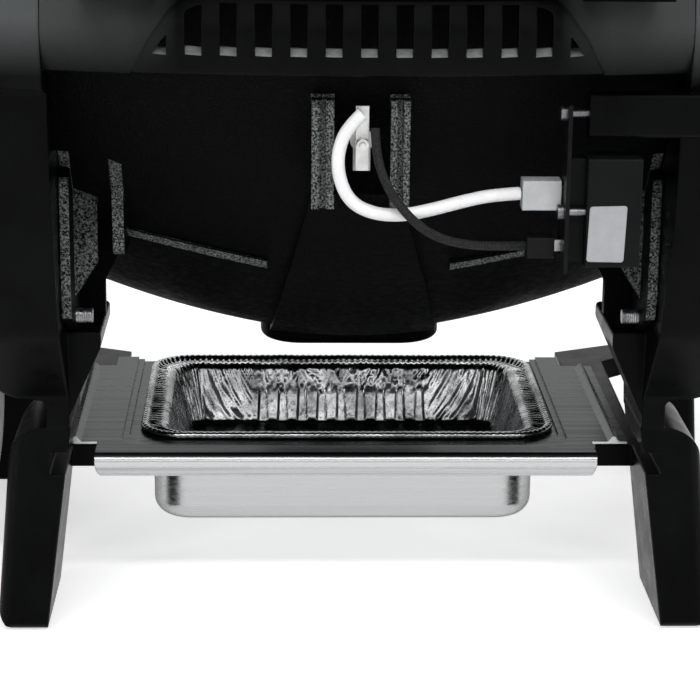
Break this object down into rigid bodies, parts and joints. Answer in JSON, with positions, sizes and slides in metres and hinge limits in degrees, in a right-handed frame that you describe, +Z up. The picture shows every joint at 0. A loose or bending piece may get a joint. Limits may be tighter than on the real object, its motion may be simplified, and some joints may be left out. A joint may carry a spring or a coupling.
{
  "type": "gas grill",
  "caption": "Portable gas grill with oval cast cook box and lid, moulded legs, folding side tables, spark igniter and a drip tray that slides out at the back.",
  "frame": {"origin": "on the ground under the middle of the cook box", "axes": "+Z up, -Y the user's side (front), +X the user's right, +Y the back where the drip tray slides out"},
  "size_m": [1.305, 0.495, 0.3996],
  "materials": {
    "frame_nylon": "black glass-filled nylon, fine grain, low sheen",
    "panel_nylon": "black glass-filled nylon, low sheen",
    "table_nylon": "dark grey glass-filled nylon, satin",
    "cook_box_casting": "black baked coating on rough cast aluminium",
    "lid_casting": "graphite baked coating, satin",
    "handle_nylon": "dark grey nylon, satin",
    "grate_iron": "enamelled, dull",
    "burner_steel": "plain stainless tube",
    "fastener_steel": "dark zinc plate",
    "pin_steel": "ground steel",
    "bezel_chrome": "bright",
    "dial_face": "bare white face",
    "dial_glass": "clear",
    "needle_red": "red paint",
    "probe_steel": "plain",
    "tray_steel": "brushed, grain along the tray",
    "foil": "bright crinkled foil",
    "module_plastic": "black moulded case, satin",
    "label_paper": "bare grey-white sticker",
    "bracket_paint": "black powder coat",
    "terminal_tin": "tinned",
    "white_nylon": "white nylon",
    "black_nylon": "black nylon",
    "white_sleeve": "white silicone sleeve",
    "black_sleeve": "black braided sleeve",
    "insulator_ceramic": "bare ceramic",
    "valve_brass": "plain",
    "tube_steel": "plain",
    "regulator_zinc": "die cast",
    "cylinder_paint": "dark paint",
    "knob_plastic": "satin",
    "button_red": "red",
    "battery_wrap": "bare wrap"
  },
  "bodies": {
    "frame": {"cook_box": "cook_box_casting", "grate_left": "grate_iron", "grate_right": "grate_iron", "burner_tube": "burner_steel", "burner_clip": "burner_steel", "left_end_frame": "frame_nylon", "right_end_frame": "frame_nylon", "rear_panel": "panel_nylon", "front_panel": "panel_nylon", "table_pins": "pin_steel", "hinge_pins": "pin_steel", "frame_bolts": "fastener_steel", "igniter_module": "module_plastic", "module_label": "label_paper", "module_plate": "bracket_paint", "module_screws": "fastener_steel", "module_terminals": "terminal_tin", "white_connector": "white_nylon", "black_connector": "black_nylon", "white_lead": "white_sleeve", "black_lead": "black_sleeve", "electrode_rod": "probe_steel", "electrode_insulator": "insulator_ceramic", "electrode_terminal": "terminal_tin", "valve_body": "valve_brass", "valve_screws": "fastener_steel", "gas_tube": "tube_steel", "gas_strap": "bracket_paint", "strap_screws": "fastener_steel", "regulator": "regulator_zinc", "gas_cylinder": "cylinder_paint", "igniter_housing": "knob_plastic", "igniter_battery": "battery_wrap"},
    "lid": {"lid": "lid_casting", "lid_handle": "handle_nylon", "handle_screws": "fastener_steel", "thermometer_case": "bezel_chrome", "thermometer_dial": "dial_face", "thermometer_lens": "dial_glass", "thermometer_stem": "probe_steel", "thermometer_nut": "probe_steel"},
    "needle": {"thermometer_needle": "needle_red"},
    "right_table": {"side_table_right": "table_nylon"},
    "left_table": {"side_table_left": "table_nylon"},
    "tray": {"catch_pan_holder": "tray_steel"},
    "pan": {"foil_pan": "foil"},
    "stem": {"valve_stem": "valve_brass"},
    "knob": {"control_knob": "knob_plastic"},
    "button": {"igniter_button": "button_red"}
  },
  "joints": [
    {"name": "lid_hinge", "type": "hinge", "parent": "frame", "child": "lid", "pos_m": [0, 0.238, 0.298], "axis": [-1, 0, 0], "range_deg": [0, 100]},
    {"name": "right_table_hinge", "type": "hinge", "parent": "frame", "child": "right_table", "pos_m": [0.385, 0, 0.27], "axis": [0, -1, 0], "range_deg": [0, 125]},
    {"name": "left_table_hinge", "type": "hinge", "parent": "frame", "child": "left_table", "pos_m": [-0.385, 0, 0.27], "axis": [0, 1, 0], "range_deg": [0, 125]},
    {"name": "tray_slide", "type": "slide", "parent": "frame", "child": "tray", "axis": [0, 1, 0], "range_m": [0, 0.13]},
    {"name": "pan_lift", "type": "slide", "parent": "tray", "child": "pan", "axis": [0, 0, 1], "range_m": [0, 0.02]},
    {"name": "stem_push", "type": "slide", "parent": "frame", "child": "stem", "axis": [0, 1, 0], "range_m": [0, 0.003], "stiffness_N_per_m": 900},
    {"name": "knob_turn", "type": "hinge", "parent": "stem", "child": "knob", "pos_m": [0.322, -0.075, 0.222], "axis": [0, -1, 0], "range_deg": [0, 225]},
    {"name": "button_push", "type": "slide", "parent": "frame", "child": "button", "axis": [0, 1, 0], "range_m": [0, 0.004], "stiffness_N_per_m": 600},
    {"name": "needle_turn", "type": "hinge", "parent": "lid", "child": "needle", "pos_m": [0, -0.06, 0.392], "axis": [0, 0, -1], "range_deg": [0, 250]}
  ]
}
